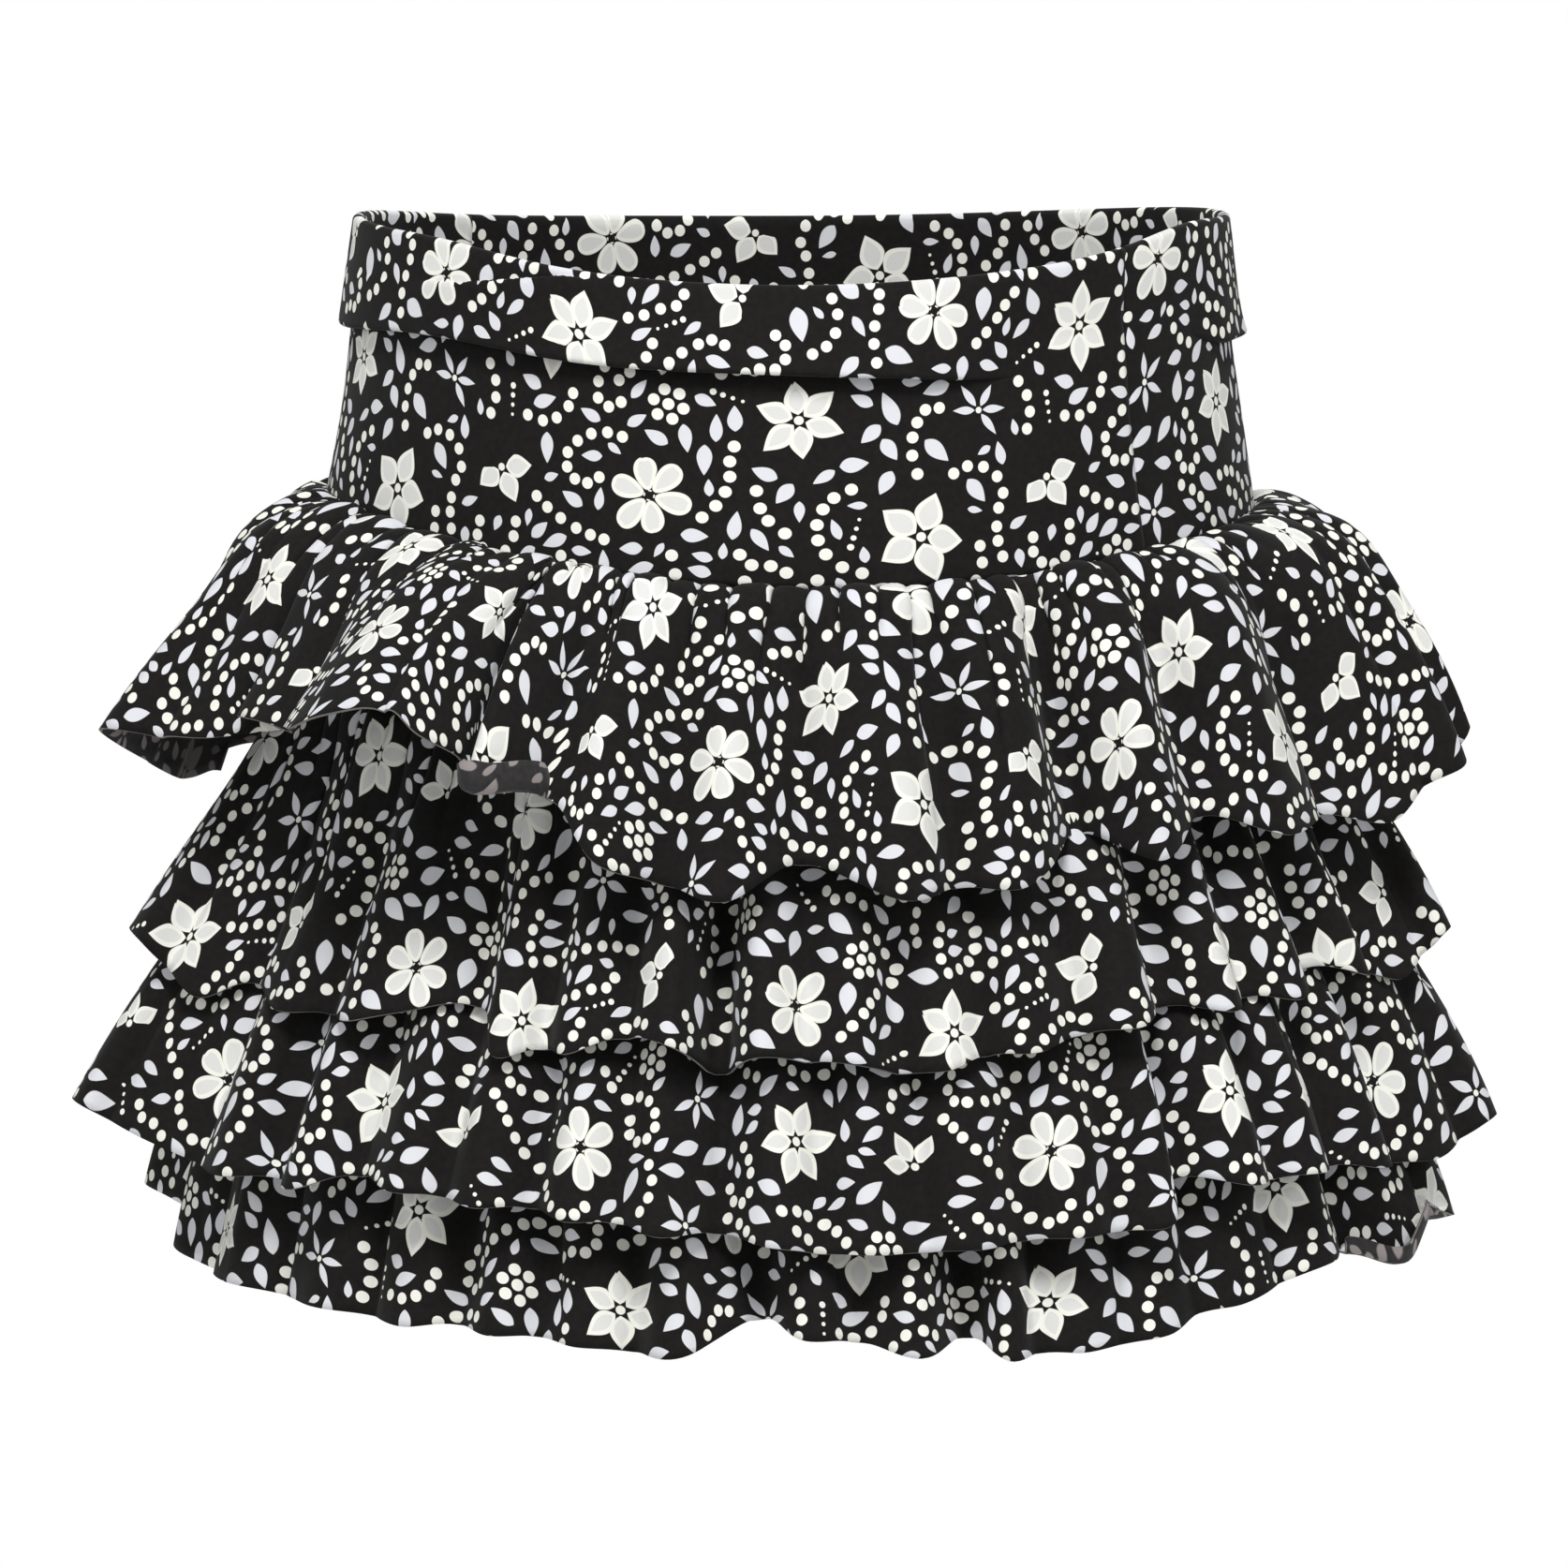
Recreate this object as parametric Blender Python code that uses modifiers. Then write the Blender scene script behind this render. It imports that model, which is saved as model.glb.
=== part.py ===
"""Ruffle skirt, worn and hollow: a double-cloth yoke whose top is folded over, a plain base skirt below
it, and four gathered tiers. The first tier is sewn into the yoke seam, the others onto the base.

Metres, +Z up. The front faces -Y and +X is the right of the front view. A turn is an angle round the
body in degrees, from the centre front towards the right. The origin is the centre of the waist
opening, level with the top of the waist fold at the sides, where the wearer holds the skirt up.
"""

import math
from collections import namedtuple

import bpy

MM = 0.001

# Cloth and sewing
JERSEY = 1.2 * MM
DOUBLE_JERSEY = 1.6 * MM
SEAM_GAP = 0.3 * MM
RUFFLE_SEAM_GAP = 0.6 * MM
YOKE_SEAM_TURN = 49
RUFFLE_SEAM_TURN = 90

# Round sections of the body of the skirt, in mm: half sizes, and the height at the sides, at the
# centre front and at the centre back. The tilt lowers the right side and lifts the left one.
Ring = namedtuple("Ring", "half_width half_depth side front back tilt")
WAIST = Ring(151.0, 108.0, -3.0, -16.0, -12.0, 0.0)
FOLD_EDGE = Ring(156.0, 117.0, -40.0, -46.5, -46.0, 1.5)
YOKE_SEAM = Ring(162.5, 128.5, -101.5, -119.0, -116.0, 3.0)
TIER_SEAMS = (
    YOKE_SEAM,
    Ring(176.0, 142.0, -160.0, -177.0, -176.0, 2.0),
    Ring(187.0, 153.0, -219.0, -238.0, -237.0, 2.0),
    Ring(193.0, 160.0, -266.0, -284.0, -283.0, 1.0),
)

# The yoke's section from its seam up, over the fold at the waist and down the outside to the loose
# folded edge: the ring that a step lies towards, its share of the way there from the waist, and how
# far the cloth stands out, in mm.
YokeStep = namedtuple("YokeStep", "towards share stand_off")
YOKE_SECTION = (
    YokeStep(YOKE_SEAM, 1.0, 0.0),
    YokeStep(YOKE_SEAM, 0.8, 0.4),
    YokeStep(YOKE_SEAM, 0.6, 0.6),
    YokeStep(YOKE_SEAM, 0.4, 0.3),
    YokeStep(YOKE_SEAM, 0.2, 0.0),
    YokeStep(YOKE_SEAM, 0.018, 0.0),
    YokeStep(FOLD_EDGE, 0.0, 1.7),
    YokeStep(FOLD_EDGE, 0.05, 3.4),
    YokeStep(FOLD_EDGE, 0.36, 3.4),
    YokeStep(FOLD_EDGE, 0.70, 3.6),
    YokeStep(FOLD_EDGE, 1.0, 4.2),
)
YOKE_STEP_TURN = 180 / 28

# The folds of each tier, one row each, in mm: where the crest stands, how far its hem is out from the
# tier's seam and hangs below it, and the valley after it: how much further in and lower its hem is,
# and by how many degrees it leans off the middle of the two crests.
Fold = namedtuple("Fold", "turn out hang dent sag lean")
TIER_FOLDS = (
    (
        Fold(-72, 90, 74, 0, 0, 0),
        Fold(-60.5, 66, 71, 11, 0, -4),
        Fold(-55, 64, 61, 5, 2, 1),
        Fold(-41, 96, 51, -10, -21, 1.5),
        Fold(-26.5, 84, 66, 10, -10, 0),
        Fold(-17, 68, 89, 6, 1, 0),
        Fold(-6, 58, 101, 14, -12, -1),
        Fold(10, 58, 100, 7, -1, 0),
        Fold(22, 56, 98, 14, -11, 3),
        Fold(35, 60, 94, 12, -10, 0),
        Fold(49, 66, 92, 10, -3, 2),
        Fold(66, 66, 98, 0, 0, 0),
        Fold(74, 88, 80, 8, 3, 0),
        Fold(90, 64, 90, 5, 0, 0),
        Fold(106, 70, 92, 12, -4, 0),
        Fold(122, 66, 96, 14, -8, 0),
        Fold(138, 60, 99, 10, -3, 0),
        Fold(152, 62, 98, 14, -9, 1),
        Fold(166, 56, 101, 9, -2, 0),
        Fold(180, 60, 100, 14, -9, -1),
        Fold(194, 56, 102, 8, -1, 0),
        Fold(208, 62, 97, 14, -9, 1),
        Fold(222, 66, 95, 10, -4, 0),
        Fold(236, 68, 94, 12, -6, 0),
        Fold(252, 64, 103, 6, -3, 0),
        Fold(268, 54, 101, 2, 2, 0),
    ),
    (
        Fold(-74, 64, 88, 0, 0, 0),
        Fold(-66, 50, 107, 6, -7, -1.5),
        Fold(-53, 47, 103, 4, -1, 0),
        Fold(-42, 50, 99, 9, -13, 1.5),
        Fold(-27, 50, 103, 5, -2, 0),
        Fold(-20, 50, 99, 5, -4, 0),
        Fold(-10.5, 54, 93, 16, 9, 0),
        Fold(-3, 52, 96, 4, 0, 0),
        Fold(6, 50, 99, 4, 2, 0),
        Fold(14, 48, 102, 4, -2, 0),
        Fold(22, 50, 98, 4, -2, 0),
        Fold(32, 52, 93, 9, -4, 0),
        Fold(42, 52, 93, 6, -3, 0),
        Fold(51, 52, 94, 7, -7, 0),
        Fold(61, 53, 92, 6, -2, 0),
        Fold(70, 51, 99, 0, 0, 0),
        Fold(76, 61, 84, 14, 4, 0),
        Fold(104, 52, 98, 8, -3, 0),
        Fold(119, 49, 101, 8, -4, 0),
        Fold(133, 48, 102, 8, -5, 0),
        Fold(147, 50, 101, 6, -2, 0),
        Fold(161, 48, 103, 8, -5, 0),
        Fold(175, 49, 103, 5, 0, 0),
        Fold(189, 48, 104, 8, -6, 0),
        Fold(204, 50, 101, 6, -2, 0),
        Fold(218, 48, 102, 8, -5, 0),
        Fold(233, 50, 99, 7, -3, 0),
        Fold(252, 52, 97, 9, 4, 0),
    ),
    (
        Fold(-75, 72, 88, 0, 0, 0),
        Fold(-68, 58, 97, 4, 2, 0),
        Fold(-55, 55, 101, 5, -2, 0),
        Fold(-46, 54, 99, 6, -5, 0),
        Fold(-35, 54, 92, 4, -1, 0),
        Fold(-27, 54, 93, 6, -2, 0),
        Fold(-19, 53, 94, 4, -2, 0),
        Fold(-11, 52, 97, 12, -2, 0),
        Fold(-2, 52, 99, 4, 1, 0),
        Fold(7, 50, 102, 3, 0, 0),
        Fold(16, 50, 102, 4, -1, 0),
        Fold(25, 51, 101, 3, 0, 0),
        Fold(33, 54, 100, 13, -9, -1.5),
        Fold(41, 56, 91, 4, 0, 0),
        Fold(49, 57, 92, 5, -2, 0),
        Fold(58, 56, 97, 5, 0, 0),
        Fold(68, 56, 101, 0, 0, 0),
        Fold(76, 66, 91, 12, 2, 0),
        Fold(105, 57, 98, 8, -3, 0),
        Fold(119, 55, 99, 8, -4, 0),
        Fold(134, 52, 101, 7, -3, 0),
        Fold(148, 53, 100, 8, -5, 0),
        Fold(163, 51, 102, 5, 0, 0),
        Fold(178, 50, 103, 8, -5, 0),
        Fold(193, 51, 102, 5, -2, 0),
        Fold(207, 53, 101, 8, -5, 0),
        Fold(222, 52, 101, 6, -2, 0),
        Fold(237, 55, 99, 7, -3, 0),
        Fold(253, 59, 97, 13, 2, 0),
    ),
    (
        Fold(-98, 28, 88, 4, 4, 0),
        Fold(-78, 34, 95, 3, 2, 0),
        Fold(-60, 34, 95, 5, 0, 0),
        Fold(-46, 36, 94, 4, 0, 0),
        Fold(-36, 36, 94, 4, -2, 0),
        Fold(-27, 37, 92, 4, -1, 0),
        Fold(-19, 38, 92, 4, 0, 0),
        Fold(-11, 40, 93, 16, -9, 1),
        Fold(1, 38, 86, 5, -2, 0),
        Fold(9, 40, 92, 4, 0, 0),
        Fold(18, 40, 93, 3, 0, 0),
        Fold(26, 39, 96, 4, -2, 0),
        Fold(34, 40, 95, 5, -5, 0),
        Fold(42, 41, 88, 5, -3, 0),
        Fold(53, 42, 84, 5, -2, 0),
        Fold(67, 43, 88, 0, 0, 0),
        Fold(75, 50, 77, 12, 4, 0),
        Fold(104, 39, 94, 6, -2, 0),
        Fold(119, 37, 96, 6, -3, 0),
        Fold(134, 38, 96, 7, -4, 0),
        Fold(148, 37, 98, 5, -2, 0),
        Fold(162, 39, 98, 8, -5, 0),
        Fold(176, 37, 99, 5, 0, 0),
        Fold(190, 39, 98, 8, -5, 0),
        Fold(204, 37, 98, 5, -2, 0),
        Fold(218, 38, 97, 7, -4, 0),
        Fold(232, 37, 96, 5, -2, 0),
        Fold(247, 35, 94, 4, -4, 0),
    ),
)

# How each tier leaves its seam, as shares of how far its hem is out and hangs, and how finely its
# cloth is divided: columns for each crest or valley, and steps down from seam to hem. Where the hem
# hangs less than the level, the cloth swells up over the seam. Gathers are counted for each crest or
# valley too. The valley share is how much deeper a valley is half way down.
TierStyle = namedtuple("TierStyle", "puff_out puff_hang level columns steps gathers gather_depth")
TIER_STYLES = (
    TierStyle(0.50, 0.16, 90.0, 3, (0.0, 0.07, 0.18, 0.34, 0.55, 0.78, 1.0), 1.5, 2.2),
    TierStyle(0.42, 0.30, 0.0, 2, (0.0, 0.14, 0.34, 0.56, 0.78, 1.0), 0.0, 0.0),
    TierStyle(0.50, 0.28, 0.0, 2, (0.0, 0.14, 0.34, 0.56, 0.78, 1.0), 0.0, 0.0),
    TierStyle(0.60, 0.22, 0.0, 2, (0.0, 0.14, 0.34, 0.56, 0.78, 1.0), 0.0, 0.0),
)
VALLEY_SHARE = 0.4

# The gathers die out this share of the way down, and stand up by a share of how far they stand out
GATHER_FADE = 0.42
GATHER_LIFT = 0.6

# A column nearer to a piece's side edge than this share of a column's width is left out
EDGE_SHARE = 0.4

# Where the gathered edge starts, in mm: just below the yoke's lower edge, or just outside the base.
# The base's own top edge is tucked in behind the first tier's.
YOKE_SEAM_DROP = (0.5 * JERSEY + 1.4 * SEAM_GAP) / MM
YOKE_SEAM_STAND_OFF = 0.3
BASE_STAND_OFF = (JERSEY + 2.0 * SEAM_GAP) / MM
BASE_TUCK = (0.5 * (DOUBLE_JERSEY + JERSEY) - 2.0 * SEAM_GAP) / MM

# Near-black ground of the printed cloth, and how the pieces differ in the plain model
GROUND = (0.012, 0.011, 0.011, 1.0)
ROUGHNESS = 0.85


def ring_height(ring, turn):
    """Height of a round section at a turn, in mm."""
    across = math.sin(math.radians(turn))
    along = math.cos(math.radians(turn))
    middle = ring.front if along > 0 else ring.back
    return ring.side + (middle - ring.side) * along**2 - ring.tilt * across


def ring_point(ring, turn, out=0.0, drop=0.0):
    """Point at a turn, moved out from the ring and down by millimetres, in metres."""
    x = (ring.half_width + out) * math.sin(math.radians(turn))
    y = -(ring.half_depth + out) * math.cos(math.radians(turn))
    return (x * MM, y * MM, (ring_height(ring, turn) - drop) * MM)


def between(first, second, share):
    """Ring at a share of the way from one ring to another."""
    return Ring(*(a + (b - a) * share for a, b in zip(first, second)))


def mixed(first, second, share):
    return tuple(a + (b - a) * share for a, b in zip(first, second))


def make_material(name, tint):
    material = bpy.data.materials.new(name)
    material.use_nodes = True
    shader = material.node_tree.nodes["Principled BSDF"]
    shader.inputs["Base Color"].default_value = tuple(c * tint for c in GROUND[:3]) + (1.0,)
    shader.inputs["Roughness"].default_value = ROUGHNESS
    shader.inputs["Metallic"].default_value = 0.0
    material.diffuse_color = shader.inputs["Base Color"].default_value
    return material


def cloth_panel(name, columns, wall, material, collection):
    """One piece of cloth, lofted through its columns of points, with its wall added by Solidify."""
    rows = len(columns[0])
    points = [point for column in columns for point in column]
    faces = []
    for column in range(len(columns) - 1):
        for row in range(rows - 1):
            corner = column * rows + row
            faces.append((corner, corner + 1, corner + rows + 1, corner + rows))
    mesh = bpy.data.meshes.new(name)
    mesh.from_pydata(points, [], faces)
    mesh.materials.append(material)
    mesh.shade_smooth()
    panel = bpy.data.objects.new(name, mesh)
    collection.objects.link(panel)
    solidify = panel.modifiers.new("wall", "SOLIDIFY")
    solidify.thickness = wall
    solidify.offset = 0.0
    return panel


def gap_turn(ring, gap=SEAM_GAP):
    """Half a seam gap as a turn on a ring."""
    return math.degrees(0.5 * gap / (min(ring.half_width, ring.half_depth) * MM))


def even_turns(start, end, step):
    count = max(1, round((end - start) / step))
    return [start + (end - start) * i / count for i in range(count + 1)]


def yoke_panel(name, start, end, material, collection):
    """Front or back of the yoke: up from the seam, over the waist fold and down to the loose edge."""
    margin = gap_turn(WAIST)
    columns = []
    for turn in even_turns(start + margin, end - margin, YOKE_STEP_TURN):
        column = []
        for step in YOKE_SECTION:
            ring = between(WAIST, step.towards, step.share)
            column.append(ring_point(ring, turn, step.stand_off))
        columns.append(column[::-1])
    return cloth_panel(name, columns, DOUBLE_JERSEY, material, collection)


def base_panel(name, start, end, material, collection):
    """Front or back of the base skirt, from the yoke seam down to the seam of the lowest tier."""
    margin = gap_turn(YOKE_SEAM)
    below = SEAM_GAP / MM
    columns = []
    for turn in even_turns(start + margin, end - margin, YOKE_STEP_TURN):
        column = [ring_point(YOKE_SEAM, turn, -BASE_TUCK, below)]
        column += [ring_point(ring, turn) for ring in TIER_SEAMS[1:]]
        columns.append(column)
    return cloth_panel(name, columns, JERSEY, material, collection)


def hem_stations(folds):
    """Crests and valleys in turn round the hem, as (turn, out, hang)."""
    stations = []
    for fold, following in zip(folds, folds[1:] + (folds[0]._replace(turn=folds[0].turn + 360),)):
        stations.append((fold.turn, fold.out, fold.hang))
        middle = 0.5 * (fold.turn + following.turn) + fold.lean
        out = 0.5 * (fold.out + following.out) - fold.dent
        hang = 0.5 * (fold.hang + following.hang) + fold.sag
        stations.append((middle, out, hang))
    return stations


def smooth_station(stations, place):
    """Values at a place between stations, on a closed smooth curve through all of them."""
    count = len(stations)
    index = math.floor(place)
    t = place - index
    near = []
    for k in (-1, 0, 1, 2):
        laps, i = divmod(index + k, count)
        turn, out, hang = stations[i]
        near.append((turn + 360 * laps, out, hang))
    before, start, end, after = near
    return tuple(
        0.5 * (2 * b + (c - a) * t + (2 * a - 5 * b + 4 * c - d) * t**2 + (3 * b - a - 3 * c + d) * t**3)
        for a, b, c, d in zip(before, start, end, after)
    )


def along_crests(stations, place, column, lap):
    """Value on the straight line from one crest to the next; lap is what a whole turn adds to it."""
    count = len(stations)
    crest = 2 * math.floor(place / 2)
    laps, i = divmod(crest, count)
    next_laps, j = divmod(crest + 2, count)
    start = stations[i][column] + lap * laps
    end = stations[j][column] + lap * next_laps
    return start + (end - start) * (place - crest) / 2


def seam_turn(stations, place):
    """Turn on the seam: the gathers share the cloth out evenly between two crests."""
    return along_crests(stations, place, 0, 360)


def crest_line(stations, place):
    """How far out the hem would stand without its valleys."""
    return along_crests(stations, place, 1, 0)


def ruffle_point(tier, stations, place, down):
    """Middle of the cloth of a tier at a place round it and a share of the way from seam to hem."""
    ring, style = TIER_SEAMS[tier], TIER_STYLES[tier]
    turn, out, hang = smooth_station(stations, place)
    root_turn = seam_turn(stations, place)
    root_drop = YOKE_SEAM_DROP if tier == 0 else 0.0
    root = ring_point(ring, root_turn, YOKE_SEAM_STAND_OFF if tier == 0 else BASE_STAND_OFF, root_drop)
    valley = VALLEY_SHARE * (out - crest_line(stations, place))
    swell_turn = 0.5 * (turn + root_turn)
    swell_drop = style.puff_hang * (hang - style.level) + root_drop
    swell = ring_point(ring, swell_turn, style.puff_out * out + valley, swell_drop)
    hem = ring_point(ring, turn, out, hang + root_drop)
    point = mixed(mixed(root, swell, down), mixed(swell, hem, down), down)
    fade = math.sin(math.pi * min(1.0, down / GATHER_FADE))
    ripple = style.gather_depth * fade * math.cos(2 * math.pi * style.gathers * place)
    reach = 1 + ripple / (ring.half_width + out)
    return (point[0] * reach, point[1] * reach, point[2] + GATHER_LIFT * ripple * MM)


def place_of_turn(stations, turn):
    """Place round the hem whose seam lies at a turn, found by halving."""
    low, high = -2.0, len(stations) + 2.0
    for _ in range(40):
        middle = 0.5 * (low + high)
        if seam_turn(stations, middle) < turn:
            low = middle
        else:
            high = middle
    return 0.5 * (low + high)


def ruffle_panel(name, tier, start, end, material, collection):
    """Front or back strip of a tier, gathered along its seam and wavy along its hem."""
    stations = hem_stations(TIER_FOLDS[tier])
    style = TIER_STYLES[tier]
    side_gap = gap_turn(TIER_SEAMS[tier], RUFFLE_SEAM_GAP)
    first = place_of_turn(stations, start + side_gap)
    last = place_of_turn(stations, end - side_gap)
    step = 1 / style.columns
    margin = EDGE_SHARE * step
    inner = [k * step for k in range(math.ceil(first / step), math.ceil(last / step))]
    places = [first] + [place for place in inner if first + margin < place < last - margin] + [last]
    columns = [[ruffle_point(tier, stations, place, down) for down in style.steps] for place in places]
    return cloth_panel(name, columns, JERSEY, material, collection)


def build():
    for existing in list(bpy.data.objects):
        bpy.data.objects.remove(existing, do_unlink=True)
    collection = bpy.data.collections.new("ruffle_skirt")
    bpy.context.scene.collection.children.link(collection)
    yoke_cloth = make_material("yoke_jersey", 1.2)
    base_cloth = make_material("base_jersey", 0.9)
    ruffle_cloth = make_material("ruffle_jersey", 1.0)
    halfway = YOKE_SEAM_TURN - 180
    yoke_panel("yoke_front", halfway, YOKE_SEAM_TURN, yoke_cloth, collection)
    yoke_panel("yoke_back", YOKE_SEAM_TURN, halfway + 360, yoke_cloth, collection)
    left, right = -RUFFLE_SEAM_TURN, RUFFLE_SEAM_TURN
    base_panel("base_front", left, right, base_cloth, collection)
    base_panel("base_back", right, left + 360, base_cloth, collection)
    for tier in range(len(TIER_SEAMS)):
        ruffle_panel(f"ruffle_{tier + 1}_front", tier, left, right, ruffle_cloth, collection)
        ruffle_panel(f"ruffle_{tier + 1}_back", tier, right, left + 360, ruffle_cloth, collection)


build()
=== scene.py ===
import math
import random
from collections import namedtuple

import bmesh
import bpy
import numpy as np
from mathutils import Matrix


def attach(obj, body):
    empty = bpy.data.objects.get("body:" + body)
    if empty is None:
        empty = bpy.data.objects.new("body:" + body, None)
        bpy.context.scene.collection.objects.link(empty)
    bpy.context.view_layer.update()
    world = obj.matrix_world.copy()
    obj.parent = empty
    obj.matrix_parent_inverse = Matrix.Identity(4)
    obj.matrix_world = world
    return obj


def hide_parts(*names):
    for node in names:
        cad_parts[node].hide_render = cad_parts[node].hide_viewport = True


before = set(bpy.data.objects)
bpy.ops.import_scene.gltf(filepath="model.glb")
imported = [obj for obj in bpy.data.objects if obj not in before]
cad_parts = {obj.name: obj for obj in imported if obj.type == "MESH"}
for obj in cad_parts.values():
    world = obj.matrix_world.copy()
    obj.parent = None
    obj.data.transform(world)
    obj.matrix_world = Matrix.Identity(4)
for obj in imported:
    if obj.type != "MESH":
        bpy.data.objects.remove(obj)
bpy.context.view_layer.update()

# Camera
# A long lens straight at the front from a little above, framed so that a pixel of the photo is
# 0.33 mm at the middle of the skirt.
PHOTO_SIDE = 1674
PHOTO_PIXEL = 0.00033
CAMERA_RISE = math.radians(7)
CAMERA_DISTANCE = 6.0
SEEN_CENTRE = (-0.0026, 0.0, -0.2025)

lens_data = bpy.data.cameras.new("camera")
lens_data.lens = lens_data.sensor_width * CAMERA_DISTANCE / (PHOTO_SIDE * PHOTO_PIXEL)
camera = bpy.data.objects.new("camera", lens_data)
camera.location = (
    SEEN_CENTRE[0],
    SEEN_CENTRE[1] - CAMERA_DISTANCE * math.cos(CAMERA_RISE),
    SEEN_CENTRE[2] + CAMERA_DISTANCE * math.sin(CAMERA_RISE),
)
camera.rotation_euler = (math.pi / 2 - CAMERA_RISE, 0, 0)
bpy.context.scene.collection.objects.link(camera)
bpy.context.scene.camera = camera

# Studio
# A white room with a large soft light over the front, so that the undersides of the hems and the
# bottoms of the folds fall into shade, and a pale floor well below the worn skirt. The camera sees
# the room as plain white, and the skirt is lit by less than that.
FLOOR_HEIGHT = -0.95
FLOOR_HALF_SIZE = 2.6
FLOOR_COLOUR = (0.93, 0.93, 0.92)
FLOOR_ROUGHNESS = 0.9
ROOM_LIGHT = 0.31
ROOM_SEEN = 1.0
SoftLight = namedtuple("SoftLight", "name place turned_x turned_z size watts")
SOFT_LIGHTS = (
    SoftLight("key_light", (-0.2, -2.2, 2.9), 37, -5, 1.3, 111),
    SoftLight("right_light", (2.6, -1.8, 1.2), 62, 55, 1.2, 21),
    SoftLight("left_light", (-2.6, -1.8, 1.2), 62, -55, 1.2, 15),
    SoftLight("back_light", (0.5, 2.8, 2.2), -50, -10, 2.0, 40),
)


def plain_material(name, colour, roughness):
    """One colour all over."""
    material = bpy.data.materials.new(name)
    material.use_nodes = True
    shader = material.node_tree.nodes["Principled BSDF"]
    shader.inputs["Base Color"].default_value = (*colour, 1)
    shader.inputs["Roughness"].default_value = roughness
    return material


floor_grid = bmesh.new()
bmesh.ops.create_grid(floor_grid, x_segments=8, y_segments=8, size=FLOOR_HALF_SIZE)
bmesh.ops.translate(floor_grid, verts=floor_grid.verts, vec=(0, 0, FLOOR_HEIGHT))
floor_mesh = bpy.data.meshes.new("floor")
floor_grid.to_mesh(floor_mesh)
floor_grid.free()
floor = bpy.data.objects.new("floor", floor_mesh)
bpy.context.scene.collection.objects.link(floor)
floor_mesh.materials.append(plain_material("pale_floor", FLOOR_COLOUR, FLOOR_ROUGHNESS))

room = bpy.data.worlds.new("white_room")
room.use_nodes = True
lit_room = room.node_tree.nodes["Background"]
seen_room = room.node_tree.nodes.new("ShaderNodeBackground")
for wall, strength in ((lit_room, ROOM_LIGHT), (seen_room, ROOM_SEEN)):
    wall.inputs["Color"].default_value = (1.0, 1.0, 1.0, 1)
    wall.inputs["Strength"].default_value = strength
ray = room.node_tree.nodes.new("ShaderNodeLightPath")
either = room.node_tree.nodes.new("ShaderNodeMixShader")
room.node_tree.links.new(ray.outputs["Is Camera Ray"], either.inputs[0])
room.node_tree.links.new(lit_room.outputs[0], either.inputs[1])
room.node_tree.links.new(seen_room.outputs[0], either.inputs[2])
room.node_tree.links.new(either.outputs[0], room.node_tree.nodes["World Output"].inputs["Surface"])
bpy.context.scene.world = room
bpy.context.scene.view_settings.view_transform = "Standard"

for light in SOFT_LIGHTS:
    panel = bpy.data.lights.new(light.name, "AREA")
    panel.size = light.size
    panel.energy = light.watts
    lamp = bpy.data.objects.new(light.name, panel)
    lamp.location = light.place
    lamp.rotation_euler = (math.radians(light.turned_x), 0, math.radians(light.turned_z))
    bpy.context.scene.collection.objects.link(lamp)

# Printed jersey
# A near-black jersey printed with flowers, sprigs, loose leaves and curling chains of dots. Every
# piece of the skirt but the hidden base is cut from it. The flowers and sprigs of one repeat are
# charted in mm. The rings, chains, trails and leaves grow into the room between them.
REPEAT = 190.0
Bloom = namedtuple("Bloom", "x y radius turn petals pointed kept slim")

# kept is the share of its petals that a flower shows, and slim marks a sprig of narrow leaves
BLOOMS = (
    Bloom(30, 28, 14.0, 10, 6, 0, 1.0, 0),
    Bloom(90, 40, 15.5, 35, 6, 1, 1.0, 0),
    Bloom(150, 22, 13.0, 200, 5, 1, 0.5, 0),
    Bloom(129, 92, 14.0, 75, 6, 0, 1.0, 0),
    Bloom(24, 106, 15.5, 5, 5, 1, 1.0, 0),
    Bloom(72, 90, 12.5, 60, 5, 1, 0.5, 0),
    Bloom(166, 148, 15.5, 50, 6, 1, 1.0, 0),
    Bloom(74, 156, 14.0, 20, 6, 0, 1.0, 0),
    Bloom(120, 133, 11.0, 30, 6, 1, 0.75, 1),
    Bloom(176, 64, 14.5, 80, 6, 1, 1.0, 0),
    Bloom(47, 64, 10.5, 300, 6, 1, 0.75, 1),
    Bloom(118, 178, 11.0, 160, 5, 1, 1.0, 1),
    Bloom(22, 156, 13.0, 240, 6, 1, 0.5, 0),
)
FLOWER_CLEARANCE = 0.6
DOT_RADIUS = 2.1
DOT_PITCH = 5.2
DOT_SPREAD = (0.95, 1.3)
HOOK_PITCH = 5.0
CHAIN_DOTS = 215
CHAIN_CLEARANCE = 1.6
CHAIN_OWN_CLEARANCE = 0.4
CHAIN_BEND = (5, 30)
CHAIN_HOOK = (38, 58)
STRAIGHT_DOTS = (2, 8)
HOOKED_DOTS = (0, 2, 4, 5, 6)
SWING_DOTS = (2, 9)
DOT_RINGS = 4
RING_RADIUS = 5.2
RING_CLEARANCE = 1.5
TRAILS = 9
TRAIL_RADII = (1.15, 0.95, 0.75, 0.6)
TRAIL_PITCH = 3.3
TRAIL_CLEARANCE = 1.0
LEAVES = 160
LEAF_LENGTH = (7.5, 13.5)
LEAF_SHARE = (0.42, 0.58)
LEAF_CLEARANCE = 0.9
LARGE_LEAF_TRIES = 8000
LEAF_TRIES = 20000
SMALL_LEAF = 0.75
PRINT_SEED = 11


def apart(x, y, points):
    """Distances from a place to points of the repeat, whose edges meet all round."""
    across = np.abs(points[:, 0] - x) % REPEAT
    along = np.abs(points[:, 1] - y) % REPEAT
    return np.hypot(np.minimum(across, REPEAT - across), np.minimum(along, REPEAT - along))


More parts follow.
